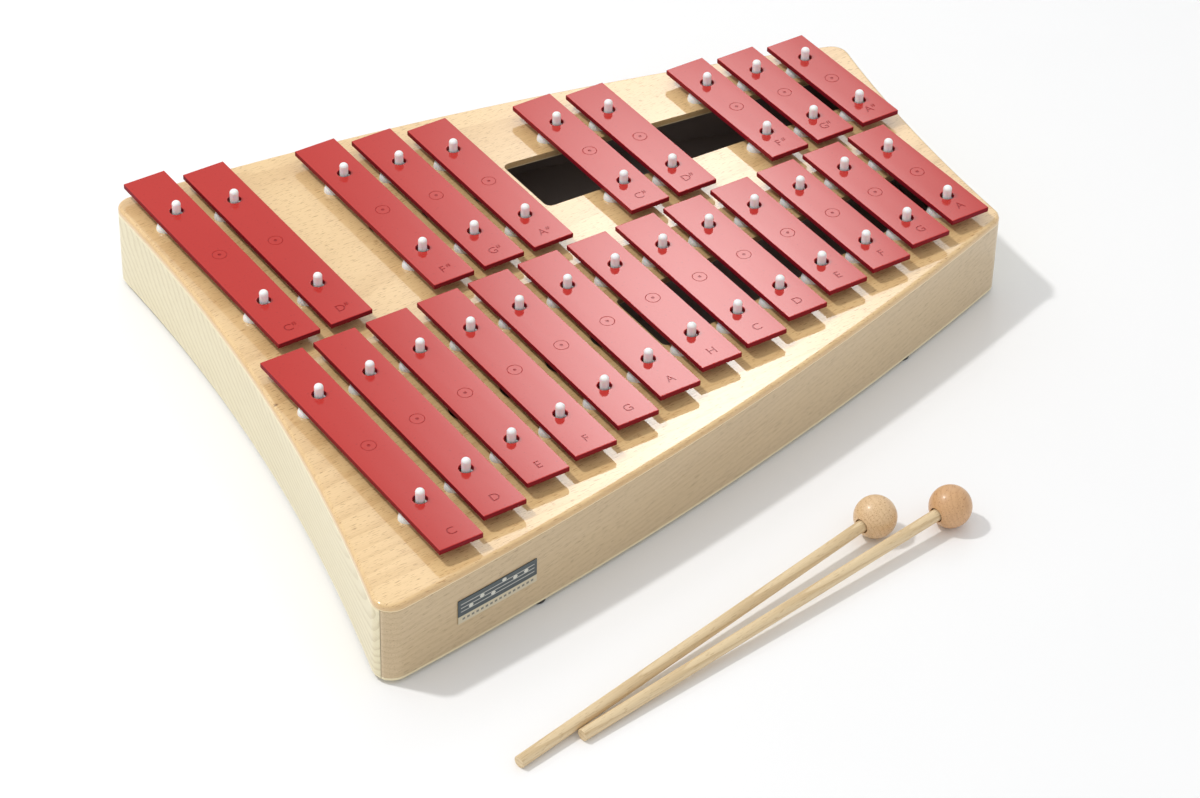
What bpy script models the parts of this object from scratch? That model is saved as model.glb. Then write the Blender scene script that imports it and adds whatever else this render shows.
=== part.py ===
"""Alto glockenspiel: twenty-three steel bars on white pins over a wooden resonator case, with its
two mallets lying on the table in front of it. Lengths below are millimetres; X runs along the row
from the low notes to the high ones, Y away from the player and Z up."""

import math

import bmesh
import bpy
from mathutils import Matrix, Vector

MM = 0.001
JOINT = 0.15          # glue line left between two pieces of wood

# Bars
BAR_WIDTH = 25.0
BAR_THICK = 3.0
BAR_LOW_LENGTH = 175.0   # the lowest bar; each semitone up divides it by the 24th root of 2
BAR_PITCH = 31.6
NODE_SHARE = 0.22        # the two points of a free bar that stay still, as a share of its length
BAR_HOLE = 7.4
FIRST_BAR_X = -189.6
NATURALS_BACK_Y = -2.6   # back end of the lowest natural bar
NATURALS_RISE = 0.46     # how much further back each next natural bar ends
SHARPS_FRONT_Y = 5.4     # front end of a sharp bar standing at the first natural
SHARPS_RISE = 0.32
NATURALS = (("C1", 0), ("D1", 2), ("E1", 4), ("F1", 5), ("G1", 7), ("A1", 9), ("H1", 11),
            ("C2", 12), ("D2", 14), ("E2", 16), ("F2", 17), ("G2", 19), ("A2", 21))
# name, semitones above the lowest bar, place in the row counted in pitches
SHARPS = (("Cs1", 1, 0.5), ("Ds1", 3, 1.5), ("Fs1", 6, 3.5), ("Gs1", 8, 4.5), ("As1", 10, 5.5),
          ("Cs2", 13, 7.5), ("Ds2", 15, 8.5), ("Fs2", 18, 10.5), ("Gs2", 20, 11.5),
          ("As2", 22, 12.5))

# Pins and the cushions moulded round them
PIN_DIAMETER = 5.0
PIN_OVER_BAR = 6.3
CUSHION_LENGTH = 22.0
CUSHION_WIDTH = 9.4
CUSHION_HEIGHT = 6.0     # it carries the underside of the bar this far over the case
CUSHION_EDGE = 1.6
REST_GAP = 0.2
PIN_HOLE = 5.9
RAIL_WIDTH = 7.0
RAIL_THICK = 3.0
PIN_SIDES = 12

# Case
RIM_Z = 2.5              # underside of the walls
WALL_TOP_Z = 46.5
PLATE_TOP_Z = 50.5
PLATE_EDGE = 2.2
CORNER_RADIUS = 10.0
END_SHEET = 2.8          # the pale bent sheets that close the two ends
WALL_THICK = 10.0
BASE_THICK = 3.0
BASE_RECESS = 1.2
# corners of the case in plan, front left first and then anticlockwise
CORNERS = (Vector((-246.3, -193.6)), Vector((212.9, -92.9)),
           Vector((241.3, 93.3)), Vector((-194.1, 176.8)))
# how far each side bows out from the line between its corners: front, right, back, left
BOWS = (13.0, -4.5, 13.6, -13.7)
FOOT_DIAMETER = 9.0
FOOT_STATIONS = (0.22, 0.82)

# Sound openings in the top of the case: left, right, then back and front edge at each end
NATURALS_SLOT = (-11.7, 196.0, -45.1, -29.0, -93.0, -65.1)
SHARPS_SLOT = (5.2, 210.0, 92.8, 71.6, 45.4, 38.4)
SLOT_CORNER = 4.0
# bar over the hole, diameter, how far the hole's centre is in front of the bar's
SOUND_HOLES = (("C1", 14.0, 2.0), ("D1", 14.0, 2.0), ("E1", 19.8, 2.0), ("F1", 19.8, 4.0),
               ("G1", 19.8, 3.0), ("A1", 19.8, 2.0), ("Cs1", 14.0, 1.0), ("Ds1", 14.0, 1.0),
               ("Fs1", 17.6, 1.5), ("Gs1", 17.6, 1.5), ("As1", 17.6, 1.5))

# Printed plate on the front wall
PLATE_SPAN = (-198.5, -148.5)
PLATE_Z = (18.5, 33.0)
PLATE_THICK = 0.4

# Mallets: middle of the head and middle of the handle's end, seen from above
MALLETS = (((28.7, -225.0), (-216.9, -271.9)), ((66.3, -238.9), (-181.6, -272.5)))
HEAD_DIAMETER = 22.6
STICK_DIAMETER = 6.4
HEAD_BORE = 8.0
BORE_DEPTH = 16.0        # from the ball's surface on the handle's side inwards

BAR_BOTTOM_Z = PLATE_TOP_Z + CUSHION_HEIGHT
BAR_TOP_Z = BAR_BOTTOM_Z + BAR_THICK


def clear_scene():
    for obj in list(bpy.data.objects):
        bpy.data.objects.remove(obj, do_unlink=True)


def material(name, colour, roughness, metallic=0.0):
    made = bpy.data.materials.new(name)
    made.use_nodes = True
    shader = made.node_tree.nodes["Principled BSDF"]
    shader.inputs["Base Color"].default_value = (*colour, 1.0)
    shader.inputs["Roughness"].default_value = roughness
    shader.inputs["Metallic"].default_value = metallic
    return made


def keep(name, mesh_bm, surface, location=(0.0, 0.0, 0.0)):
    """Object `name` made from the bmesh, whose points are millimetres from `location`."""
    bmesh.ops.scale(mesh_bm, vec=(MM, MM, MM), verts=mesh_bm.verts)
    bmesh.ops.recalc_face_normals(mesh_bm, faces=mesh_bm.faces)
    mesh = bpy.data.meshes.new(name)
    mesh_bm.to_mesh(mesh)
    mesh_bm.free()
    mesh.materials.append(surface)
    obj = bpy.data.objects.new(name, mesh)
    obj.location = Vector(location) * MM
    bpy.context.scene.collection.objects.link(obj)
    return obj


def boolean(obj, cutter, operation):
    """Applies the cutter to the object's mesh and removes the cutter."""
    modifier = obj.modifiers.new(operation.title(), "BOOLEAN")
    modifier.object = cutter
    modifier.operation = operation
    modifier.solver = "EXACT"
    bpy.context.view_layer.update()
    graph = bpy.context.evaluated_depsgraph_get()
    mesh = bpy.data.meshes.new_from_object(obj.evaluated_get(graph))
    obj.modifiers.clear()
    old = obj.data
    obj.data = mesh
    bpy.data.meshes.remove(old)
    bpy.data.objects.remove(cutter, do_unlink=True)


def loft(mesh_bm, levels):
    """Adds the closed solid that passes through outlines of equal length, lowest first."""
    rings = [[mesh_bm.verts.new((x, y, z)) for x, y in outline] for outline, z in levels]
    mesh_bm.faces.new(list(reversed(rings[0])))
    mesh_bm.faces.new(rings[-1])
    for lower, upper in zip(rings, rings[1:]):
        for i in range(len(lower)):
            j = (i + 1) % len(lower)
            mesh_bm.faces.new((lower[i], lower[j], upper[j], upper[i]))


def prism(mesh_bm, outline, bottom, top):
    loft(mesh_bm, [(outline, bottom), (outline, top)])


def cylinder(mesh_bm, x, y, diameter, bottom, top, sides=24):
    turn = [2 * math.pi * i / sides for i in range(sides)]
    radius = diameter / 2
    prism(mesh_bm, [(x + radius * math.cos(a), y + radius * math.sin(a)) for a in turn],
          bottom, top)


# ---- plan of the case -----------------------------------------------------------------------

def side_circle(index, inset):
    """Centre and radius of one bowed side moved inwards, and +1 where the side bows outwards."""
    start, end = CORNERS[index], CORNERS[(index + 1) % 4]
    chord = end - start
    inward = Vector((-chord.y, chord.x)).normalized()
    bow = abs(BOWS[index])
    radius = (chord.length_squared / 4 + bow * bow) / (2 * bow)
    sign = 1 if BOWS[index] > 0 else -1
    centre = (start + end) / 2 + inward * sign * (radius - bow)
    return centre, radius - sign * inset, sign


def meet(first, second, near):
    """The crossing of two circles that lies nearest to a point."""
    between = second[0] - first[0]
    gap = between.length
    along = (first[1] ** 2 - second[1] ** 2 + gap * gap) / (2 * gap)
    aside = math.sqrt(first[1] ** 2 - along ** 2)
    axis = between / gap
    normal = Vector((-axis.y, axis.x))
    found = [first[0] + axis * along + normal * aside * side for side in (1, -1)]
    return min(found, key=lambda point: (point - near).length)


def arc(centre, radius, start, end, steps):
    """Points from start to end the short way round, both included."""
    first = math.atan2(start.y - centre.y, start.x - centre.x)
    turn = math.atan2(end.y - centre.y, end.x - centre.x) - first
    turn = (turn + math.pi) % (2 * math.pi) - math.pi
    angles = [first + turn * i / steps for i in range(steps + 1)]
    return [Vector((centre.x + radius * math.cos(a), centre.y + radius * math.sin(a)))
            for a in angles]


def case_outline(insets, corner_radius, side_steps=20, corner_steps=6):
    """The case in plan, each side moved in by its own inset, with rounded corners."""
    sides = [side_circle(i, insets[i]) for i in range(4)]
    rounds = []
    for i in range(4):
        pair = [side_circle(k, insets[k] + corner_radius) for k in ((i - 1) % 4, i)]
        middle = meet(pair[0], pair[1], CORNERS[i])
        ends = []
        for k in ((i - 1) % 4, i):
            centre, radius, _ = sides[k]
            ends.append(centre + (middle - centre).normalized() * radius)
        rounds.append(arc(middle, corner_radius, ends[0], ends[1], corner_steps))
    points = []
    for i in range(4):
        centre, radius, _ = sides[i]
        points += rounds[i]
        points += arc(centre, radius, rounds[i][-1], rounds[(i + 1) % 4][0], side_steps)[1:-1]
    return points


def side_strip(index, depth_from, depth_to, overrun=30.0, steps=24):
    """Outline of the band that follows one side between two depths."""
    centre, _, _ = side_circle(index, 0.0)
    ends = (CORNERS[index], CORNERS[(index + 1) % 4])
    along = (ends[1] - ends[0]).normalized() * overrun
    outer = side_circle(index, depth_from)[1]
    inner = side_circle(index, depth_to)[1]
    reach = [(ends[0] - along - centre).normalized(), (ends[1] + along - centre).normalized()]
    near = arc(centre, outer, centre + reach[0] * outer, centre + reach[1] * outer, steps)
    far = arc(centre, inner, centre + reach[1] * inner, centre + reach[0] * inner, steps)
    return near + far


def wall_point(index, share, depth):
    """A point at a share of one side's length, at a depth inside its wall."""
    centre, radius, _ = side_circle(index, depth)
    run = arc(centre, radius, CORNERS[index], CORNERS[(index + 1) % 4], 100)
    return run[round(share * 100)]


# ---- materials --------------------------------------------------------------------------------

def make_materials():
    return {
        "enamel": material("red enamel on steel", (0.62, 0.05, 0.055), 0.18),
        "pin": material("white moulded plastic", (0.86, 0.86, 0.84), 0.35),
        "beech": material("lacquered beech", (0.78, 0.55, 0.31), 0.22),
        "beech_wall": material("beech walls", (0.60, 0.45, 0.28), 0.45),
        "pale": material("pale end sheets", (0.80, 0.74, 0.55), 0.5),
        "base": material("base board", (0.66, 0.52, 0.34), 0.6),
        "rubber": material("black rubber", (0.03, 0.03, 0.03), 0.8),
        "plate": material("slate blue print", (0.08, 0.12, 0.17), 0.4),
        "stick": material("natural beech stick", (0.70, 0.55, 0.33), 0.5),
        "head": material("turned beech head", (0.66, 0.42, 0.22), 0.4),
    }


# ---- bars -------------------------------------------------------------------------------------

def bar_table():
    """Name, length, centre in plan of every bar."""
    rows = []
    for place, (name, semitones) in enumerate(NATURALS):
        length = BAR_LOW_LENGTH * 2 ** (-semitones / 24)
        back = NATURALS_BACK_Y + NATURALS_RISE * place
        rows.append((name, length, FIRST_BAR_X + BAR_PITCH * place, back - length / 2))
    for name, semitones, place in SHARPS:
        length = BAR_LOW_LENGTH * 2 ** (-semitones / 24)
        front = SHARPS_FRONT_Y + SHARPS_RISE * place
        rows.append((name, length, FIRST_BAR_X + BAR_PITCH * place, front + length / 2))
    return rows


def make_bar(name, length, x, y, surface):
    """One flat bar about its own centre, with a clear hole at each still point."""
    mesh_bm = bmesh.new()
    half_w, half_l = BAR_WIDTH / 2, length / 2
    prism(mesh_bm, [(-half_w, -half_l), (half_w, -half_l), (half_w, half_l), (-half_w, half_l)],
          0.0, BAR_THICK)
    bar = keep("bar_" + name, mesh_bm, surface, (x, y, BAR_BOTTOM_Z))
    reach = (0.5 - NODE_SHARE) * length
    cutter_bm = bmesh.new()
    for side in (-1, 1):
        cylinder(cutter_bm, 0.0, side * reach, BAR_HOLE, -2.0, BAR_THICK + 2.0, 20)
    cutter = keep("bar_holes", cutter_bm, surface, (x, y, BAR_BOTTOM_Z))
    boolean(bar, cutter, "DIFFERENCE")


# ---- pins -------------------------------------------------------------------------------------

def oval(length, width):
    """The rounded outline of a cushion, in PIN_SIDES points."""
    flat = (length - width) / 2
    ring = []
    for i in range(PIN_SIDES):
        angle = 2 * math.pi * (i + 0.5) / PIN_SIDES
        x = width / 2 * math.cos(angle) + math.copysign(flat, math.cos(angle))
        ring.append((x, width / 2 * math.sin(angle)))
    return ring


def circle(diameter):
    return [(diameter / 2 * math.cos(2 * math.pi * (i + 0.5) / PIN_SIDES),
             diameter / 2 * math.sin(2 * math.pi * (i + 0.5) / PIN_SIDES))
            for i in range(PIN_SIDES)]


def add_pin(mesh_bm, x, y):
    """A round pin with its oval cushion, lofted from the hidden rail to its domed tip."""
    foot = PLATE_TOP_Z + JOINT
    seat = BAR_BOTTOM_Z - REST_GAP
    tip = BAR_TOP_Z + PIN_OVER_BAR
    radius = PIN_DIAMETER / 2
    loft(mesh_bm, [([(x + px, y + py) for px, py in ring], z) for ring, z in (
        (circle(PIN_DIAMETER), WALL_TOP_Z - RAIL_THICK / 2),
        (circle(PIN_DIAMETER), foot),
        (oval(CUSHION_LENGTH, CUSHION_WIDTH), foot),
        (oval(CUSHION_LENGTH, CUSHION_WIDTH), seat - CUSHION_EDGE * 1.6),
        (oval(CUSHION_LENGTH - 2 * CUSHION_EDGE, CUSHION_WIDTH - 2 * CUSHION_EDGE), seat),
        (circle(PIN_DIAMETER), seat),
        (circle(PIN_DIAMETER), tip - radius),
        (circle(PIN_DIAMETER * 0.87), tip - radius * 0.5),
        (circle(PIN_DIAMETER * 0.4), tip))])


def make_pin_line(name, spots, surface):
    """One line of pins, held together by a narrow rail that runs under the case top."""
    pins_bm = bmesh.new()
    for x, y in spots:
        add_pin(pins_bm, x, y)
    pins = keep("pin_bodies", pins_bm, surface)
    ends = [(spots[0][0] - RAIL_WIDTH / 2, spots[0][1])]
    ends += spots[1:-1]
    ends.append((spots[-1][0] + RAIL_WIDTH / 2, spots[-1][1]))
    half = RAIL_WIDTH / 2
    outline = [(x, y - half) for x, y in ends] + [(x, y + half) for x, y in reversed(ends)]
    rail_bm = bmesh.new()
    rail_top = WALL_TOP_Z - JOINT
    prism(rail_bm, outline, rail_top - RAIL_THICK, rail_top)
    line = keep(name, rail_bm, surface)
    boolean(line, pins, "UNION")


def pin_spots(rows, side):
    return [(x, y + side * (0.5 - NODE_SHARE) * length) for _, length, x, y in rows]


# ---- case -------------------------------------------------------------------------------------

def slot_outline(slot):
    """A four-sided opening with rounded corners."""
    left, right, back_left, back_right, front_left, front_right = slot
    corners = [Vector((left, front_left)), Vector((right, front_right)),
               Vector((right, back_right)), Vector((left, back_left))]
    points = []
    for i, corner in enumerate(corners):
        before = (corners[i - 1] - corner).normalized()
        after = (corners[(i + 1) % 4] - corner).normalized()
        half_angle = math.acos(before.dot(after)) / 2
        middle = corner + (before + after).normalized() * (SLOT_CORNER / math.sin(half_angle))
        reach = SLOT_CORNER / math.tan(half_angle)
        points += arc(middle, SLOT_CORNER, corner + before * reach, corner + after * reach, 5)
    return points


def make_case_top(rows, surface):
    """The sounding board: one plate with its upper edge rounded over, its openings and the pin
    holes cut through."""
    mesh_bm = bmesh.new()
    levels = [(case_outline((0.0,) * 4, CORNER_RADIUS), WALL_TOP_Z)]
    for i in range(4):
        angle = math.pi / 2 * i / 3
        inset = PLATE_EDGE * (1 - math.cos(angle))
        levels.append((case_outline((inset,) * 4, CORNER_RADIUS - inset),
                       PLATE_TOP_Z - PLATE_EDGE * (1 - math.sin(angle))))
    loft(mesh_bm, levels)
    top = keep("case_top", mesh_bm, surface)
    cutter_bm = bmesh.new()
    below, above = WALL_TOP_Z - 2.0, PLATE_TOP_Z + 2.0
    for slot in (NATURALS_SLOT, SHARPS_SLOT):
        prism(cutter_bm, slot_outline(slot), below, above)
    places = {name: (x, y) for name, _, x, y in rows}
    for name, diameter, forward in SOUND_HOLES:
        x, y = places[name]
        cylinder(cutter_bm, x, y - forward, diameter, below, above, 28)
    for side in (-1, 1):
        for x, y in pin_spots(rows, side):
            cylinder(cutter_bm, x, y, PIN_HOLE, below, above, 12)
    boolean(top, keep("top_cutter", cutter_bm, surface), "DIFFERENCE")


def make_wall(name, strip, bottom, top, surface):
    """The part of the hollow case wall that lies inside one strip."""
    wall_bm = bmesh.new()
    prism(wall_bm, case_outline((0.0,) * 4, CORNER_RADIUS), bottom, top)
    wall = keep(name, wall_bm, surface)
    strip_bm = bmesh.new()
    prism(strip_bm, strip, bottom - 5.0, top + 5.0)
    boolean(wall, keep("strip", strip_bm, surface), "INTERSECT")
    return wall


def make_case(rows, surfaces):
    make_case_top(rows, surfaces["beech"])
    low, high = RIM_Z, WALL_TOP_Z - JOINT
    for name, index, key in (("case_side_left", 3, "pale"), ("case_side_right", 1, "pale")):
        make_wall(name, side_strip(index, -8.0, END_SHEET), low, high, surfaces[key])
    for name, index in (("case_front", 0), ("case_back", 2)):
        wall = make_wall(name, side_strip(index, -8.0, WALL_THICK), low, high,
                         surfaces["beech_wall"])
        for side in (1, 3):
            trim_bm = bmesh.new()
            prism(trim_bm, side_strip(side, -20.0, END_SHEET + JOINT), low - 5.0, high + 5.0)
            boolean(wall, keep("trim", trim_bm, surfaces["pale"]), "DIFFERENCE")
    base_bm = bmesh.new()
    wide, narrow = WALL_THICK + JOINT, END_SHEET + JOINT
    prism(base_bm, case_outline((wide, narrow, wide, narrow), 0.6, 20, 2),
          RIM_Z + BASE_RECESS, RIM_Z + BASE_RECESS + BASE_THICK)
    keep("case_base", base_bm, surfaces["base"])
    number = 1
    for index in (0, 2):
        for share in FOOT_STATIONS:
            spot = wall_point(index, share, WALL_THICK / 2)
            foot_bm = bmesh.new()
            cylinder(foot_bm, 0.0, 0.0, FOOT_DIAMETER, 0.0, RIM_Z - JOINT, 20)
            keep("foot_%d" % number, foot_bm, surfaces["rubber"], (spot.x, spot.y, 0.0))
            number += 1


def make_front_plate(surface):
    """A thin printed plate that follows the bow of the front wall."""
    centre, _, _ = side_circle(0, 0.0)
    outline = []
    for depth, span in ((-JOINT, PLATE_SPAN), (-JOINT - PLATE_THICK, PLATE_SPAN[::-1])):
        radius = side_circle(0, depth)[1]
        for i in range(9):
            x = span[0] + (span[1] - span[0]) * i / 8
            outline.append((x, centre.y - math.sqrt(radius ** 2 - (x - centre.x) ** 2)))
    mesh_bm = bmesh.new()
    prism(mesh_bm, outline, PLATE_Z[0], PLATE_Z[1])
    keep("front_plate", mesh_bm, surface)


# ---- mallets ----------------------------------------------------------------------------------

def make_mallet(number, head_xy, end_xy, surfaces):
    """A turned ball, bored from one side, on a plain dowel; both lie along their own X axis,
    with the ball on the table and the dowel's far end touching it."""
    ball, dowel = HEAD_DIAMETER / 2, STICK_DIAMETER / 2
    flat = Vector(head_xy) - Vector(end_xy)
    tilt = math.asin((ball - dowel) / flat.length)
    heading = math.atan2(flat.y, flat.x)
    length = flat.length / math.cos(tilt)
    turn = (0.0, -tilt, heading)

    stick_bm = bmesh.new()
    bmesh.ops.create_cone(stick_bm, cap_ends=True, segments=16, radius1=dowel, radius2=dowel,
                          depth=length - ball + BORE_DEPTH - 1.0)
    middle = -(length + ball - BORE_DEPTH + 1.0) / 2
    bmesh.ops.transform(stick_bm, verts=stick_bm.verts,
                        matrix=Matrix.Translation((middle, 0.0, 0.0))
                        @ Matrix.Rotation(math.pi / 2, 4, "Y"))
    stick = keep("mallet_%d_stick" % number, stick_bm, surfaces["stick"], (*head_xy, ball))
    stick.rotation_euler = turn

    head_bm = bmesh.new()
    bmesh.ops.create_uvsphere(head_bm, u_segments=24, v_segments=16, radius=ball)
    head = keep("mallet_%d_head" % number, head_bm, surfaces["head"])
    bore_bm = bmesh.new()
    bmesh.ops.create_cone(bore_bm, cap_ends=True, segments=16, radius1=HEAD_BORE / 2,
                          radius2=HEAD_BORE / 2, depth=BORE_DEPTH + 10.0)
    bmesh.ops.transform(bore_bm, verts=bore_bm.verts,
                        matrix=Matrix.Translation((BORE_DEPTH / 2 - 5.0 - ball, 0.0, 0.0))
                        @ Matrix.Rotation(math.pi / 2, 4, "Y"))
    boolean(head, keep("bore", bore_bm, surfaces["head"]), "DIFFERENCE")
    head.location = stick.location
    head.rotation_euler = turn


# ---- assembly ---------------------------------------------------------------------------------

def stand_on_origin():
    """Moves everything so that the set's footprint is centred and its lowest point is at 0."""
    bpy.context.view_layer.update()
    points = [obj.matrix_world @ vertex.co for obj in bpy.data.objects
              for vertex in obj.data.vertices]
    low = [min(point[axis] for point in points) for axis in range(3)]
    high = [max(point[axis] for point in points) for axis in range(3)]
    shift = Vector(((low[0] + high[0]) / 2, (low[1] + high[1]) / 2, low[2]))
    for obj in bpy.data.objects:
        obj.location -= shift


clear_scene()
surfaces = make_materials()
rows = bar_table()
for name, length, x, y in rows:
    make_bar(name, length, x, y, surfaces["enamel"])
naturals, sharps = rows[:len(NATURALS)], rows[len(NATURALS):]
make_pin_line("pins_naturals_front", pin_spots(naturals, -1), surfaces["pin"])
make_pin_line("pins_naturals_back", pin_spots(naturals, 1), surfaces["pin"])
make_pin_line("pins_sharps_front", pin_spots(sharps, -1), surfaces["pin"])
make_pin_line("pins_sharps_back", pin_spots(sharps, 1), surfaces["pin"])
make_case(rows, surfaces)
make_front_plate(surfaces["plate"])
for number, (head_xy, end_xy) in enumerate(MALLETS, 1):
    make_mallet(number, head_xy, end_xy, surfaces)
stand_on_origin()
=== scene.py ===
"""Alto glockenspiel: the looks of its bars, pins, case and mallets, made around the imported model."""
import math

import bpy
from mathutils import Euler, Matrix, Vector


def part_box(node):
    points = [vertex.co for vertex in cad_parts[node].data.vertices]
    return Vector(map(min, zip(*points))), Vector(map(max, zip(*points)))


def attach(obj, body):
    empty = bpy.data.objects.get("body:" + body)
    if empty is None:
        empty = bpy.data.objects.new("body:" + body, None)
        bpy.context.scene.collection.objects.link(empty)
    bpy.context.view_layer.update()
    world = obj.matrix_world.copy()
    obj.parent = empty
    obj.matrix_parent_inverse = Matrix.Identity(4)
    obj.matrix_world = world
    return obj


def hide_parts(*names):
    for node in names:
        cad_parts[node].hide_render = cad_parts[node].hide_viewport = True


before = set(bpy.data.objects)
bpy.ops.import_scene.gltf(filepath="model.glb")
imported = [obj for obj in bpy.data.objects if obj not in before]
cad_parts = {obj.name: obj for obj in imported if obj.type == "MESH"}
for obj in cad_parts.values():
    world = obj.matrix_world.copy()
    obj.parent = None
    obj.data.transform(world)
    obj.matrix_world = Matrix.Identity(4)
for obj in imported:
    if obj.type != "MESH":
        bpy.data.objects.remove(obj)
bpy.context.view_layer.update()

MM = 0.001


# ---- Table, light and camera ------------------------------------------------------------------
# The instrument stands on a plain white table top under a wide white sky. A key light comes from
# the left and behind, and a soft glow beyond the case shows in the enamel and the lacquer.

class Value:
    """One shader socket, which can be used in sums with numbers and with other sockets."""

    def __init__(self, tree, socket):
        self.tree = tree
        self.socket = socket

    def node(self, kind, settings, inputs, output=0):
        """Adds a node, sets its settings and then its sockets, and gives one of its outputs."""
        made = self.tree.nodes.new(kind)
        for name, setting in settings.items():
            setattr(made, name, setting)
        for name, value in inputs.items():
            if isinstance(value, Value):
                self.tree.links.new(value.socket, made.inputs[name])
            else:
                made.inputs[name].default_value = value
        return Value(self.tree, made.outputs[output])

    def maths(self, operation, *terms):
        return self.node("ShaderNodeMath", {"operation": operation}, dict(enumerate(terms)))

    def __add__(self, other):
        return self.maths("ADD", self, other)

    def __radd__(self, other):
        return self.maths("ADD", other, self)

    def __sub__(self, other):
        return self.maths("SUBTRACT", self, other)

    def __rsub__(self, other):
        return self.maths("SUBTRACT", other, self)

    def __mul__(self, other):
        return self.maths("MULTIPLY", self, other)

    def __truediv__(self, other):
        return self.maths("DIVIDE", self, other)

    def root(self):
        return self.maths("SQRT", self)

    def fraction(self):
        return self.maths("FRACT", self)

    def magnitude(self):
        return self.maths("ABSOLUTE", self)

    def larger(self, other):
        return self.maths("MAXIMUM", self, other)

    def steps(self, low, high):
        """0 below the low value, 1 above the high one, and smooth between them."""
        return self.node("ShaderNodeMapRange", {"interpolation_type": "SMOOTHSTEP"},
                         {"Value": self, "From Min": low, "From Max": high})

    def shades(self, first, second):
        """The colour between two, by this value."""
        return self.node("ShaderNodeMix", {"data_type": "RGBA"},
                         {0: self, 6: first, 7: second}, 2)

    def parts(self):
        return [self.node("ShaderNodeSeparateXYZ", {}, {0: self}, i) for i in range(3)]

    def noise(self, stretch, detail=2.0, offset=0.0):
        """Noise with this many cells to a metre along each axis of this place."""
        where = self.node("ShaderNodeMapping", {},
                          {"Vector": self, "Scale": stretch, "Location": (offset,) * 3})
        return self.node("ShaderNodeTexNoise", {},
                         {"Vector": where, "Scale": 1.0, "Detail": detail})


def colour(red, green, blue):
    return (red, green, blue, 1.0)


def new_finish(name, **sockets):
    """A material, its shader with the sockets that are the same all over, and the place on it."""
    finish = bpy.data.materials.new(name)
    finish.use_nodes = True
    shader = finish.node_tree.nodes["Principled BSDF"]
    for socket, value in sockets.items():
        shader.inputs[socket.replace("_", " ")].default_value = value
    place = finish.node_tree.nodes.new("ShaderNodeTexCoord").outputs["Object"]
    return finish, shader, Value(finish.node_tree, place)


def feed(shader, **sockets):
    """Links values that change over the surface to the shader."""
    for socket, value in sockets.items():
        value.tree.links.new(value.socket, shader.inputs[socket.replace("_", " ")])


def relief(height, depth, strength=1.0):
    """A normal bumped by a height of up to this depth in metres."""
    return height.node("ShaderNodeBump", {},
                       {"Height": height, "Distance": depth, "Strength": strength})


TABLE_SIDE = 6.0
bpy.ops.mesh.primitive_plane_add(size=TABLE_SIDE, location=(0.0, 0.0, 0.0))
table = bpy.context.object
table.name = "table_top"
table_finish, shader, place = new_finish("white table", Roughness=0.6)
soft_mottle = place.noise((5.0, 5.0, 5.0))
feed(shader, Base_Color=soft_mottle.shades(colour(0.91, 0.91, 0.915), colour(0.935, 0.935, 0.94)))
table.data.materials.append(table_finish)

SKY_LEVEL = 0.75
GLOW_LEVEL = 6.9                                     # added to the sky at the glow's middle
GLOW_HEADING, GLOW_HEIGHT = math.radians(36.5), math.radians(37.7)
GLOW_WIDTH, GLOW_TALLNESS = 0.056, 0.082             # its spread, as the sine of an angle

sky = bpy.data.worlds.new("white sky")
bpy.context.scene.world = sky
sky.use_nodes = True
outlook = Value(sky.node_tree, sky.node_tree.nodes.new("ShaderNodeTexCoord").outputs["Generated"])


def sky_offset(direction, spread):
    """How far a sky direction lies off the glow along one axis, as a share of its spread."""
    turned = outlook.node("ShaderNodeVectorMath", {"operation": "DOT_PRODUCT"},
                          {0: outlook, 1: direction}, 1)
    return turned / spread


glow_side = (math.cos(GLOW_HEADING), -math.sin(GLOW_HEADING), 0.0)
glow_up = (-math.sin(GLOW_HEADING) * math.sin(GLOW_HEIGHT),
           -math.cos(GLOW_HEADING) * math.sin(GLOW_HEIGHT), math.cos(GLOW_HEIGHT))
glow_ahead = (math.sin(GLOW_HEADING) * math.cos(GLOW_HEIGHT),
              math.cos(GLOW_HEADING) * math.cos(GLOW_HEIGHT), math.sin(GLOW_HEIGHT))
off_side = sky_offset(glow_side, GLOW_WIDTH)
off_up = sky_offset(glow_up, GLOW_TALLNESS)
ahead = sky_offset(glow_ahead, 1.0)
ahead = ahead.maths("GREATER_THAN", ahead, 0.0)
glow = ahead.maths("EXPONENT", 0.0 - (off_side * off_side + off_up * off_up)) * ahead
level = SKY_LEVEL + glow * GLOW_LEVEL
background = sky.node_tree.nodes["Background"]
background.inputs["Color"].default_value = colour(0.995, 1.0, 1.0)
sky.node_tree.links.new(level.socket, background.inputs["Strength"])


def add_panel(name, middle, towards, width, height, watts, tint):
    """A soft light panel that faces a point and is itself out of the camera's sight."""
    lamp = bpy.data.lights.new(name, "AREA")
    lamp.shape = "RECTANGLE"
    lamp.size = width
    lamp.size_y = height
    lamp.energy = watts
    lamp.color = tint
    panel = bpy.data.objects.new(name, lamp)
    panel.location = middle
    panel.rotation_euler = (Vector(towards) - Vector(middle)).to_track_quat("-Z", "Y").to_euler()
    panel.visible_camera = False
    bpy.context.scene.collection.objects.link(panel)


add_panel("key_panel", middle=(-0.99, 0.78, 2.10), towards=(0.0, 0.0, 0.0), width=0.15,
          height=0.15, watts=24.5, tint=(1.0, 0.995, 0.985))

camera_data = bpy.data.cameras.new("camera")
camera_data.lens = 110.55
camera_data.sensor_width = 36.0
camera_data.clip_start = 0.05
camera_data.clip_end = 50.0
camera = bpy.data.objects.new("camera", camera_data)
camera.location = (-0.90418, -1.27843, 1.21554)
camera.rotation_euler = [math.radians(angle) for angle in (51.773, -1.214, -33.685)]
bpy.context.scene.collection.objects.link(camera)
bpy.context.scene.camera = camera
bpy.context.scene.view_settings.view_transform = "Standard"


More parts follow.
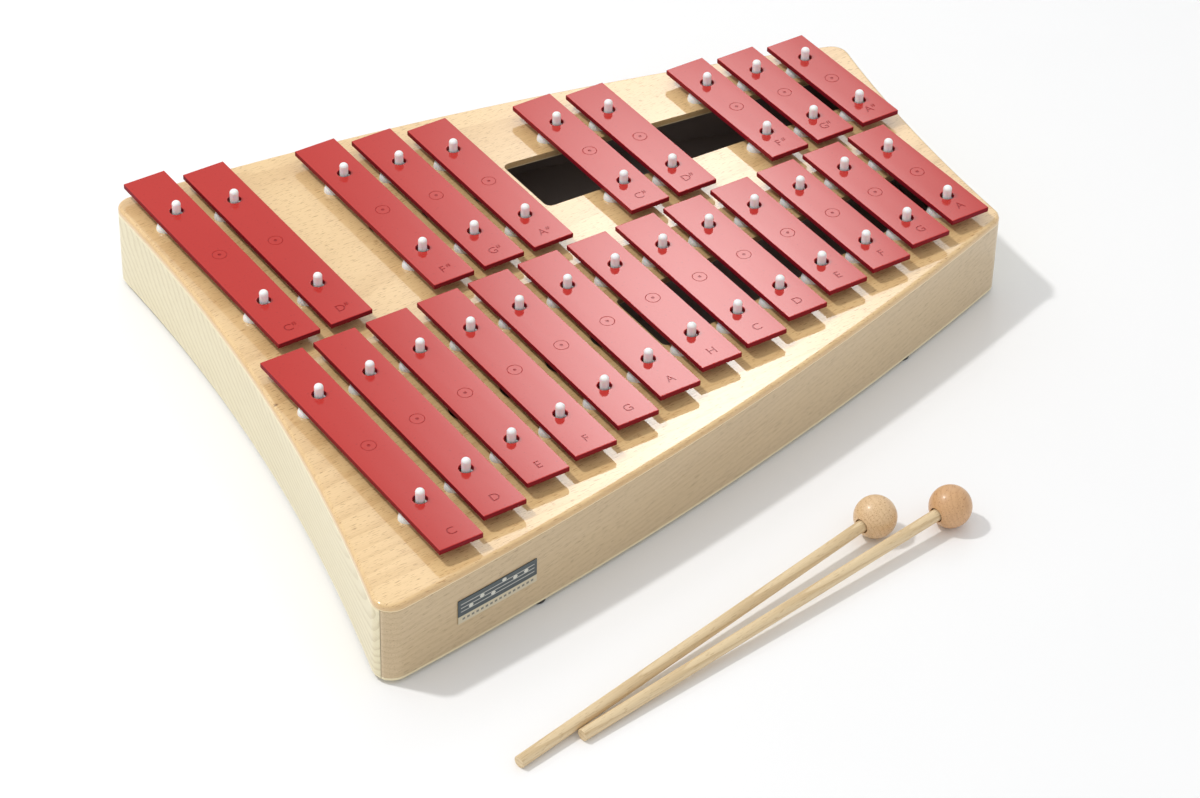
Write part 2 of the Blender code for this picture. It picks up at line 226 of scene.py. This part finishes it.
# ---- Bars -------------------------------------------------------------------------------------
# Flat steel bars, sawn to length, drilled at their two still points, stamped with their note and
# sprayed with red enamel. Each lies loose on its two cushions, held in place by its pins.

HOLE_WIDTH = 7.4 * MM
DRILL_LENGTH = 8.0 * MM
STILL_SHARE = 0.22           # how far from each end a bar is held, as a share of its length
BAR_EDGE = 0.5 * MM
COAT_FULL, COAT_THIN = 0.08 * MM, 0.26 * MM          # depths below the top between which the coat thins out and the painted shade of the sides and stamped grooves sets in
LETTER_SIZE = 7.6 * MM
LETTER_FROM_END = 9.6 * MM
SHARP_SIGN_SIZE = 4.4 * MM
SHARP_SIGN_PLACE = (4.2 * MM, 2.0 * MM)              # to the right of its letter and above it
SHARP_LETTER_SHIFT = 1.2 * MM                        # to the left, to make room for the sign
STAMP_DEPTH = 0.18 * MM
MARK_RING, MARK_LINE, MARK_DOT = 3.9 * MM, 0.20 * MM, 0.95 * MM   # radii of the middle's mark


def alone(piece):
    """Selects this piece and nothing else, and makes it the active one."""
    bpy.ops.object.select_all(action="DESELECT")
    piece.select_set(True)
    bpy.context.view_layer.objects.active = piece


def settle(piece):
    """Moves the piece's place, turn and size into its mesh."""
    alone(piece)
    bpy.ops.object.transform_apply(location=True, rotation=True, scale=True)


def work(piece, kind, **settings):
    """Adds one modifier to the piece and applies it."""
    alone(piece)
    modifier = piece.modifiers.new(kind.title(), kind)
    for name, value in settings.items():
        setattr(modifier, name, value)
    bpy.ops.object.modifier_apply(modifier=modifier.name)


def cut(piece, cutters, operation="DIFFERENCE"):
    """Cuts the piece with each cutter, or joins them to it, and removes them."""
    for cutter in cutters:
        work(piece, "BOOLEAN", operation=operation, object=cutter, solver="EXACT")
        bpy.data.objects.remove(cutter, do_unlink=True)


def break_edges(piece, width, steps=2, over=60.0):
    """Takes the sharpness off every edge that turns by more than this many degrees."""
    work(piece, "BEVEL", width=width, segments=steps, limit_method="ANGLE",
         angle_limit=math.radians(over))


def round_edges(piece, wanted, width, steps):
    """Rounds over the edges whose two end points pass the test."""
    alone(piece)
    bpy.context.tool_settings.mesh_select_mode = (False, True, False)
    bpy.ops.object.mode_set(mode="EDIT")
    bpy.ops.mesh.select_all(action="DESELECT")
    bpy.ops.object.mode_set(mode="OBJECT")
    points = piece.data.vertices
    for edge in piece.data.edges:
        edge.select = wanted(*[points[i].co for i in edge.vertices])
    bpy.ops.object.mode_set(mode="EDIT")
    bpy.ops.mesh.bevel(offset=width, segments=steps, affect="EDGES")
    bpy.ops.object.mode_set(mode="OBJECT")


def smooth(piece, degrees=35.0):
    """Shades round surfaces smooth and keeps flat ones flat."""
    alone(piece)
    bpy.ops.object.shade_smooth_by_angle(angle=math.radians(degrees))
    work(piece, "WEIGHTED_NORMAL", keep_sharp=True, weight=80)


def add_rod(middle, radius, length, sides=48):
    """An upright round rod."""
    bpy.ops.mesh.primitive_cylinder_add(vertices=sides, radius=radius, depth=length,
                                        location=middle)
    return bpy.context.object


def add_stamp(letters, size, x, y, top):
    """Raised letters that a bar is cut with, upright for the player."""
    bpy.ops.object.text_add(location=(x, y, top))
    stamp = bpy.context.object
    stamp.data.body = letters
    stamp.data.size = size
    stamp.data.align_x = "CENTER"
    stamp.data.align_y = "CENTER"
    stamp.data.extrude = STAMP_DEPTH
    stamp.data.resolution_u = 4
    alone(stamp)
    bpy.ops.object.convert(target="MESH")
    return bpy.context.object


def make_enamel():
    """Thick red enamel with a faint orange-peel skin, thinner and duller off the flat top, where its
    colour is darkened as painted shade on the sides and in the stamped grooves.
    """
    finish, shader, place = new_finish("red enamel", Coat_Roughness=0.075,
                                       Coat_IOR=1.46, Specular_IOR_Level=0.0)
    drift = place.noise((14.0, 14.0, 14.0))
    grit = place.noise((1500.0, 1500.0, 1500.0), 1.0)
    specks = place.noise((620.0, 620.0, 620.0), 3.0).steps(0.62, 0.74)
    body = drift.shades(colour(0.465, 0.019, 0.014), colour(0.515, 0.025, 0.018))
    body = (specks * 0.45).shades(body, colour(0.30, 0.010, 0.010))
    skin = place.parts()[2].steps(bar_top - COAT_THIN, bar_top - COAT_FULL)
    # painted shade: below the flat top, the bar's sides and the stamped grooves are darkened to deep
    # crimson
    body = skin.shades(colour(0.215, 0.008, 0.016), body)
    peel = place.noise((520.0, 520.0, 520.0), 2.0)
    feed(shader, Base_Color=body, Roughness=0.34 + grit * 0.16, Coat_Weight=0.25 + skin * 0.75,
         Normal=relief(peel + grit * 0.6, 0.08 * MM, 0.8))
    return finish


bar_names = sorted(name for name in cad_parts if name.startswith("bar_"))
bar_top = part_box(bar_names[0])[1].z
enamel = make_enamel()
for node in bar_names:
    note = node[len("bar_"):]
    low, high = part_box(node)
    middle = (low + high) / 2
    length = high.y - low.y
    bpy.ops.mesh.primitive_cube_add(size=1.0, location=middle, scale=high - low)
    bar = bpy.context.object
    bar.name = note + "_bar"
    settle(bar)
    reach = (0.5 - STILL_SHARE) * length
    cut(bar, [add_rod(middle + Vector((0.0, side * reach, 0.0)), HOLE_WIDTH / 2, DRILL_LENGTH)
              for side in (-1, 1)])
    break_edges(bar, BAR_EDGE, 3, 50.0)
    sharp = "s" in note
    letter_x = middle.x - (SHARP_LETTER_SHIFT if sharp else 0.0)
    letter_y = low.y + LETTER_FROM_END
    stamps = [add_stamp(note[0], LETTER_SIZE, letter_x, letter_y, high.z)]
    if sharp:
        right, up = SHARP_SIGN_PLACE
        stamps.append(add_stamp("#", SHARP_SIGN_SIZE, letter_x + right, letter_y + up, high.z))
    bpy.ops.mesh.primitive_torus_add(major_radius=MARK_RING, minor_radius=MARK_LINE,
                                     major_segments=36, minor_segments=8,
                                     location=(middle.x, middle.y, high.z))
    stamps.append(bpy.context.object)
    stamps.append(add_rod((middle.x, middle.y, high.z), MARK_DOT, 2 * STAMP_DEPTH, 20))
    cut(bar, stamps)
    smooth(bar, 40.0)
    bar.data.materials.clear()
    bar.data.materials.append(enamel)
    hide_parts(node)
    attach(bar, node + "_body")


# ---- Pins -------------------------------------------------------------------------------------
# White plastic pins, pressed into the case top. Each has a domed tip and an oval cushion moulded
# round its foot, which carries the bar clear of the wood.

PIN_HEAD_WIDTH = 5.0 * MM
PIN_ROOT_WIDTH = 4.2 * MM
CUSHION = Vector((24.6, 11.0, 6.0)) * MM
CUSHION_END = 7.0 * MM       # how far in from each end the cushion is rounded over
CUSHION_GAP = 0.2 * MM       # left free under the bar
CUSHION_LIFT = 0.1 * MM      # left free over the wood
PIN_TIP_EDGE = 2.1 * MM
PIN_ROOT = 5.0 * MM          # how deep the pin goes into the wood

board_low, board_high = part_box("case_top")
pin_tip_z = max(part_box(name)[1].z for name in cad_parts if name.startswith("pins_"))


def make_pin_plastic():
    """Moulded plastic: milky white, slightly waxy, with a very faint mould texture."""
    finish, shader, place = new_finish("white pin plastic", Roughness=0.32, Coat_Weight=0.25,
                                       Coat_Roughness=0.12, Subsurface_Weight=0.12,
                                       Subsurface_Scale=0.002)
    drift = place.noise((60.0, 60.0, 60.0))
    skin = place.noise((1100.0, 1100.0, 1100.0), 2.0)
    feed(shader, Base_Color=drift.shades(colour(0.87, 0.88, 0.88), colour(0.93, 0.93, 0.92)),
         Normal=relief(skin, 0.02 * MM, 0.5))
    return finish


def make_pin():
    """One pin with its cushion, standing at the origin of the plan."""
    base = board_high.z - PIN_ROOT
    bpy.ops.mesh.primitive_cone_add(
        vertices=32, radius1=PIN_ROOT_WIDTH / 2, radius2=PIN_HEAD_WIDTH / 2,
        depth=pin_tip_z - base, location=(0.0, 0.0, (base + pin_tip_z) / 2))
    pin = bpy.context.object
    settle(pin)
    round_edges(pin, lambda a, b: min(a.z, b.z) > pin_tip_z - MM / 10, PIN_TIP_EDGE, 7)
    bpy.ops.mesh.primitive_uv_sphere_add(
        segments=38, ring_count=28, radius=0.5, location=(0.0, 0.0, board_high.z),
        scale=(2 * CUSHION_END, CUSHION.y, 2 * (CUSHION.z - CUSHION_GAP)))
    cushion = bpy.context.object
    settle(cushion)
    for side in (-1, 1):
        alone(cushion)
        bpy.context.tool_settings.mesh_select_mode = (True, False, False)
        bpy.ops.object.mode_set(mode="EDIT")
        bpy.ops.mesh.select_all(action="DESELECT")
        bpy.ops.object.mode_set(mode="OBJECT")
        for point in cushion.data.vertices:
            point.select = side * point.co.x > MM / 50
        bpy.ops.object.mode_set(mode="EDIT")
        bpy.ops.transform.translate(value=(side * (CUSHION.x / 2 - CUSHION_END), 0.0, 0.0))
        bpy.ops.object.mode_set(mode="OBJECT")
    bpy.ops.object.mode_set(mode="EDIT")
    bpy.ops.mesh.select_all(action="SELECT")
    bpy.ops.mesh.bisect(plane_co=(0.0, 0.0, board_high.z + CUSHION_LIFT), plane_no=(0.0, 0.0, 1.0),
                        clear_inner=True, use_fill=True)
    bpy.ops.object.mode_set(mode="OBJECT")
    cut(pin, [cushion], "UNION")
    smooth(pin, 30.0)
    return pin


pin_plastic = make_pin_plastic()
master_pin = make_pin()
for node in bar_names:
    note = node[len("bar_"):]
    low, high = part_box(node)
    middle = (low + high) / 2
    reach = (0.5 - STILL_SHARE) * (high.y - low.y)
    row = "sharps" if "s" in note else "naturals"
    for side, where in ((-1, "front"), (1, "back")):
        pin = bpy.data.objects.new("%s_pin_%s" % (note, where), master_pin.data.copy())
        pin.data.transform(Matrix.Translation((middle.x, middle.y + side * reach, 0.0)))
        pin.data.materials.clear()
        pin.data.materials.append(pin_plastic)
        bpy.context.scene.collection.objects.link(pin)
        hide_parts("pins_%s_%s" % (row, where))
        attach(pin, "case")
bpy.data.objects.remove(master_pin, do_unlink=True)


# ---- Case top ---------------------------------------------------------------------------------
# One beech board, its upper edge rounded over, with the slots and holes cut through and the
# whole of it lacquered to a gloss. Its grain runs along the row of bars.

FIBRE_DEPTH = 0.02 * MM      # how deep the fibres show through the lacquer


def take(node, name):
    """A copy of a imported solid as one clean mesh, with its flat faces whole."""
    piece = bpy.data.objects.new(name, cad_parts[node].data.copy())
    bpy.context.scene.collection.objects.link(piece)
    alone(piece)
    bpy.ops.object.mode_set(mode="EDIT")
    bpy.ops.mesh.select_all(action="SELECT")
    bpy.ops.mesh.remove_doubles(threshold=0.002 * MM)
    bpy.ops.mesh.dissolve_limited(angle_limit=math.radians(0.1))
    bpy.ops.object.mode_set(mode="OBJECT")
    piece.data.materials.clear()
    return piece


def grain(place, middle, turn, log, lean, ring, wander):
    """Ring lines, fibre and flecks of a piece of beech whose grain runs along its own X.

    The log's axis lies at `log` (across, up) from the middle of the piece and leans away along
    the grain by `lean`. Its year rings are `ring` apart and wander sideways by `wander`."""
    along = place.node("ShaderNodeMapping", {"vector_type": "TEXTURE"},
                       {"Vector": place, "Location": middle, "Rotation": turn})
    x, y, z = along.parts()
    slow = along.noise((5.0, 26.0, 26.0), 3.0) - 0.5
    fine = along.noise((22.0, 160.0, 160.0), 2.0, 3.0) - 0.5
    across = y - log[0] + x * lean[0] + slow * wander
    below = z - log[1] + x * lean[1]
    radius = (across * across + below * below).root() + fine * (wander * 0.10)
    year = (radius / ring).fraction()
    late = year.steps(0.35, 0.93) * (1 - year.steps(0.95, 1.0))
    fibre = along.noise((30.0, 1500.0, 1500.0), 3.0)
    flecks = along.noise((210.0, 1900.0, 1900.0), 1.0, 7.0).steps(0.60, 0.70)
    cloud = along.noise((7.0, 30.0, 30.0), 2.0, 11.0)
    return late, fibre, flecks, cloud


def make_timber(name, pale, dark, fleck, middle, turn, log, ring, wander, lean=(0.0, 0.035),
                ring_share=0.45, fleck_share=0.5, **sockets):
    """A lacquered beech finish, and its shader, place and colour for what differs by piece."""
    finish, shader, place = new_finish(name, **sockets)
    late, fibre, flecks, cloud = grain(place, middle, turn, log, lean, ring, wander)
    tone = late * ring_share + (fibre - 0.5) * 0.75 + (cloud - 0.5) * 0.5
    wood = tone.steps(-0.25, 1.0).shades(colour(*pale), colour(*dark))
    wood = (flecks * fleck_share).shades(wood, colour(*fleck))
    feed(shader, Base_Color=wood,
         Normal=relief(fibre - flecks * 0.6, FIBRE_DEPTH, 0.6))
    return finish, shader, place, wood


BEECH_PALE = (0.85, 0.595, 0.29)
BEECH_DARK = (0.58, 0.335, 0.125)
BEECH_FLECK = (0.42, 0.21, 0.07)
BEECH_EDGE = (0.64, 0.40, 0.17)
KNOTS = ((-0.2088, 0.0268), (-0.2054, 0.0225))       # two pin knots near the left edge
KNOT_HEART, KNOT_RADIUS = 0.5 * MM, 1.8 * MM
EDGE_DEPTH = 1.5 * MM        # how far down the rounded edge looks darker
SEAM_HIGHLIGHT_HEIGHT = 0.9 * MM         # height of the pale seam over the walls, a painted highlight

board_finish, shader, place, wood = make_timber(
    "lacquered beech", BEECH_PALE, BEECH_DARK, BEECH_FLECK, (0.02, 0.05, board_high.z),
    turn=(0.0, 0.0, math.radians(2.0)), log=(0.10, -0.32), ring=7.0 * MM, wander=0.04,
    ring_share=0.26, fleck_share=0.80, Roughness=0.42, Coat_Weight=1.0, Coat_Roughness=0.045,
    Coat_IOR=1.6)
across, forth, height = place.parts()
edge_tone = 1 - height.steps(board_high.z - EDGE_DEPTH, board_high.z - 0.1 * MM)
seam_highlight = 1 - height.steps(board_low.z + 0.5 * MM, board_low.z + SEAM_HIGHLIGHT_HEIGHT)
wood = (edge_tone * 0.6).shades(wood, colour(*BEECH_EDGE))
for knot_x, knot_y in KNOTS:
    off_x = across - knot_x
    off_y = (forth - knot_y) * 1.6
    far = (off_x * off_x + off_y * off_y).root()
    knot = 1 - far.steps(KNOT_HEART, KNOT_RADIUS)
    wood = (knot * 0.75).shades(wood, colour(0.16, 0.07, 0.025))
# painted highlight: a pale line along the board's lower edge, over the walls
wood = (seam_highlight * 0.8).shades(wood, colour(0.86, 0.70, 0.42))
feed(shader, Base_Color=wood)

board = take("case_top", "sounding_board")
break_edges(board, 0.35 * MM)
smooth(board)
board.data.materials.append(board_finish)
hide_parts("case_top")
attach(board, "case")


# ---- Walls ------------------------------------------------------------------------------------
# The front and back walls are bowed beech, the two ends are thin pale sheets bent inwards. Their
# insides are dark. A pale strip runs along each lower edge, and a pale painted highlight along the
# ends' upper edge.

RIM_HEIGHT = 1.5 * MM        # of the pale strip

dark_inside, shader, place = new_finish("dark inside", Roughness=0.75)
feed(shader, Base_Color=place.noise((40.0, 40.0, 40.0), 3.0).shades(
    colour(0.26, 0.220, 0.205), colour(0.36, 0.310, 0.290)))

# node, name, slot, the way in, heading of the grain
WALLS = (
    ("case_front", "front_wall", "wall_wood", Vector((0.0, 1.0, 0.0)), math.radians(12.4)),
    ("case_back", "back_wall", "wall_wood", Vector((0.0, -1.0, 0.0)), math.radians(-10.9)),
    ("case_side_left", "left_end_sheet", "end_sheet_wood", Vector((1.0, 0.0, 0.0)),
     math.radians(82.0)),
    ("case_side_right", "right_end_sheet", "end_sheet_wood", Vector((-1.0, 0.0, 0.0)),
     math.radians(81.3)),
)
for node, name, slot, inwards, heading in WALLS:
    low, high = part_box(node)
    middle = (low + high) / 2
    if slot == "wall_wood":
        finish, shader, place, wood = make_timber(
            name.replace("_", " "), (0.615, 0.465, 0.275), (0.43, 0.30, 0.16),
            (0.32, 0.21, 0.11), middle, turn=(math.radians(1.5), math.radians(-7.0), heading),
            log=(0.05, -0.30), lean=(0.03, 0.02), ring=3.4 * MM, wander=0.03, ring_share=0.22,
            fleck_share=0.5, Roughness=0.38, Coat_Weight=0.6, Coat_Roughness=0.16)
    else:
        finish, shader, place, wood = make_timber(
            name.replace("_", " "), (0.79, 0.71, 0.485), (0.60, 0.505, 0.305),
            (0.56, 0.46, 0.27), middle, turn=(0.0, math.radians(-4.0), heading),
            log=(-0.04, 0.03), lean=(0.34, 0.0), ring=3.4 * MM, wander=0.012, ring_share=0.50,
            fleck_share=0.10, Roughness=0.42, Coat_Weight=0.4, Coat_Roughness=0.2)
    height = place.parts()[2]
    rim = 1 - height.steps(low.z + RIM_HEIGHT * 0.8, low.z + RIM_HEIGHT)
    # the pale strip along the end sheets' upper edge is a painted highlight
    if slot == "end_sheet_wood":
        rim = rim + height.steps(high.z - RIM_HEIGHT, high.z - RIM_HEIGHT * 0.8)
    wood = (rim * 0.85).shades(wood, colour(0.86, 0.76, 0.50))
    feed(shader, Base_Color=wood)
    wall = take(node, name)
    break_edges(wall, 0.4 * MM)
    smooth(wall)
    wall.data.materials.append(finish)
    wall.data.materials.append(dark_inside)
    for face in wall.data.polygons:
        face.material_index = 1 if face.normal.dot(inwards) > 0.6 else 0
    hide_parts(node)
    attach(wall, "case")


# ---- Base and feet ----------------------------------------------------------------------------
# A thin board closes the case from below, dark on its inner side. Four small rubber feet are
# stuck under the walls.

base_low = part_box("case_base")[0]
base_finish = make_timber(
    "base board", (0.70, 0.56, 0.36), (0.52, 0.38, 0.22), (0.45, 0.31, 0.17),
    (0.0, 0.05, base_low.z), turn=(0.0, 0.0, math.radians(3.0)), log=(0.1, -0.2),
    ring=7.0 * MM, wander=0.06, Roughness=0.6)[0]
base = take("case_base", "base_board")
break_edges(base, 0.3 * MM)
smooth(base)
base.data.materials.append(base_finish)
base.data.materials.append(dark_inside)
for face in base.data.polygons:
    face.material_index = 1 if face.normal.z > 0.6 else 0
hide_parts("case_base")
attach(base, "case")

foot_rubber, shader, place = new_finish("foot rubber", Roughness=0.7)
dust = place.noise((900.0, 900.0, 900.0), 3.0)
feed(shader, Base_Color=dust.shades(colour(0.015, 0.015, 0.015), colour(0.05, 0.05, 0.05)),
     Normal=relief(dust, 0.05 * MM, 0.6))
for number in range(1, 5):
    node = "foot_%d" % number
    low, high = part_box(node)
    foot = add_rod((low + high) / 2, (high.x - low.x) / 2, high.z - low.z, 40)
    foot.name = "foot_pad_%d" % number
    settle(foot)
    break_edges(foot, 0.5 * MM, 3)
    smooth(foot)
    foot.data.materials.append(foot_rubber)
    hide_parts(node)
    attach(foot, "case")


# ---- Front plate ------------------------------------------------------------------------------
# A thin printed badge on the front wall: a slate blue field with three fine lines and a few
# note heads, over a pale strip with one row of short strokes.

STRIP_SHARE = 0.30           # how much of the badge's height the pale strip takes
STROKE_PITCH = 2.9 * MM
PRINT_INSET = 1.6 * MM
# the print fades out between two distances from the middle of a line, a head or the row
LINE_EDGE = (0.12 * MM, 0.24 * MM)
HEAD_EDGE = (0.95 * MM, 1.10 * MM)
ROW_EDGE = (0.55 * MM, 0.75 * MM)
# how far along the badge each head sits, and on which step of the lines
NOTE_HEADS = ((0.16, 1), (0.30, 2), (0.44, 1), (0.58, 3), (0.72, 2), (0.86, 2))

plate_low, plate_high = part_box("front_plate")
plate_finish, shader, place = new_finish("badge print", Roughness=0.4, Coat_Weight=0.3,
                                         Coat_Roughness=0.15)
across, _, height = place.parts()
plate_height = plate_high.z - plate_low.z
field_bottom = plate_low.z + STRIP_SHARE * plate_height
field_height = plate_high.z - field_bottom
strip_middle = (plate_low.z + field_bottom) / 2
print_worn = place.noise((900.0, 900.0, 900.0), 2.0)
slate = print_worn.shades(colour(0.036, 0.052, 0.062), colour(0.056, 0.078, 0.090))
pale_ink = colour(0.62, 0.62, 0.56)
line_gap = field_height / 4.4
marks = []
for line in range(3):
    line_z = field_bottom + (line + 1.2) * line_gap
    marks.append(1 - (height - line_z).magnitude().steps(*LINE_EDGE))
for share, line in NOTE_HEADS:
    head_x = plate_low.x + share * (plate_high.x - plate_low.x)
    head_z = field_bottom + (line + 0.7) * line_gap
    off_x = (across - head_x) * 0.72
    off_z = height - head_z
    far = (off_x * off_x + off_z * off_z).root()
    marks.append(1 - far.steps(*HEAD_EDGE))
drawn = marks.pop()
for mark in marks:
    drawn = drawn.larger(mark)
print_left = plate_low.x + PRINT_INSET
print_right = plate_high.x - PRINT_INSET
inside = (across.steps(print_left, print_left + 0.1 * MM)
          * (1 - across.steps(print_right - 0.1 * MM, print_right)))
printed = (drawn * inside).shades(slate, pale_ink)
strip = 1 - height.steps(field_bottom - 0.05 * MM, field_bottom + 0.05 * MM)
printed = strip.shades(printed, colour(0.60, 0.53, 0.38))
stroke = (across / STROKE_PITCH).fraction()
off_row = (height - strip_middle).magnitude()
strokes = (1 - stroke.steps(0.52, 0.62)) * (1 - off_row.steps(*ROW_EDGE)) * inside
printed = (strokes * 0.8).shades(printed, colour(0.10, 0.11, 0.11))
feed(shader, Base_Color=printed, Normal=relief(print_worn, 0.02 * MM, 0.4))
plate = take("front_plate", "front_badge")
smooth(plate)
plate.data.materials.append(plate_finish)
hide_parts("front_plate")
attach(plate, "case")


# ---- Mallets ----------------------------------------------------------------------------------
# A turned wooden ball, bored from one side, glued on a plain beech dowel. Both lie loose on the
# table in front of the case.

BORE_WIDTH = 8.0 * MM
BORE_DEPTH = 16.0 * MM
BORE_GAP = 1.0 * MM          # between the dowel's end and the bottom of the bore
CUTTER_OUT = 20.0 * MM       # how far the bore's cutter stands out of the ball
DOWEL_WIDTH = 6.4 * MM
HANDLE_RIM = 4.0 * MM        # points this near the farthest one are on the handle's end
BALL_TONES = (((0.77, 0.54, 0.31), (0.56, 0.34, 0.16)), ((0.67, 0.395, 0.195), (0.47, 0.24, 0.10)))

for number, (ball_pale, ball_dark) in enumerate(BALL_TONES, 1):
    mallet = "mallet_%d" % number
    low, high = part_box(mallet + "_head")
    ball_radius = (high.z - low.z) / 2
    centre = high - Vector((ball_radius,) * 3)
    points = [vertex.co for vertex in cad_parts[mallet + "_stick"].data.vertices]
    reach = max((point - centre).length for point in points)
    rim = [point for point in points if (point - centre).length > reach - HANDLE_RIM]
    handle_end = sum(rim, Vector()) / len(rim)
    towards = (centre - handle_end).normalized()
    pitch = -math.asin(towards.z)
    heading = math.atan2(towards.y, towards.x)
    turn = Euler((0.0, pitch, heading))
    lying = (turn.to_matrix() @ Matrix.Rotation(math.pi / 2, 3, "Y")).to_euler()
    dowel_tip = centre - towards * (ball_radius - BORE_DEPTH + BORE_GAP)
    dowel_middle = (handle_end + dowel_tip) / 2

    dowel = add_rod(dowel_middle, DOWEL_WIDTH / 2, (dowel_tip - handle_end).length, 40)
    dowel.name = mallet + "_dowel"
    dowel.rotation_euler = lying
    settle(dowel)
    break_edges(dowel, 0.45 * MM, 3)
    smooth(dowel)
    dowel_finish = make_timber(
        mallet + " dowel beech", (0.78, 0.61, 0.375), (0.58, 0.41, 0.215), (0.46, 0.30, 0.14),
        dowel_middle, turn=tuple(turn), log=(0.004 * number, -0.05), ring=2.6 * MM,
        wander=0.012, ring_share=0.5, fleck_share=0.45, Roughness=0.5, Coat_Weight=0.15,
        Coat_Roughness=0.3)[0]
    dowel.data.materials.append(dowel_finish)
    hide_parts(mallet + "_stick")
    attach(dowel, mallet)

    bpy.ops.mesh.primitive_uv_sphere_add(segments=72, ring_count=40, radius=ball_radius,
                                         location=centre, rotation=turn)
    ball = bpy.context.object
    ball.name = mallet + "_ball"
    settle(ball)
    bore_middle = centre - towards * (ball_radius + CUTTER_OUT / 2 - BORE_DEPTH / 2)
    bore = add_rod(bore_middle, BORE_WIDTH / 2, BORE_DEPTH + CUTTER_OUT)
    bore.rotation_euler = lying
    cut(ball, [bore])
    smooth(ball, 50.0)
    ball_finish = make_timber(
        mallet + " turned beech", ball_pale, ball_dark, (0.40, 0.18, 0.07), centre,
        turn=(math.radians(25 * number), math.radians(62 - 30 * number), heading + 0.5),
        log=(0.006, -0.018), ring=2.3 * MM, wander=0.014, ring_share=0.24, fleck_share=0.85,
        Roughness=0.45, Coat_Weight=0.35, Coat_Roughness=0.22)[0]
    ball.data.materials.append(ball_finish)
    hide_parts(mallet + "_head")
    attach(ball, mallet)
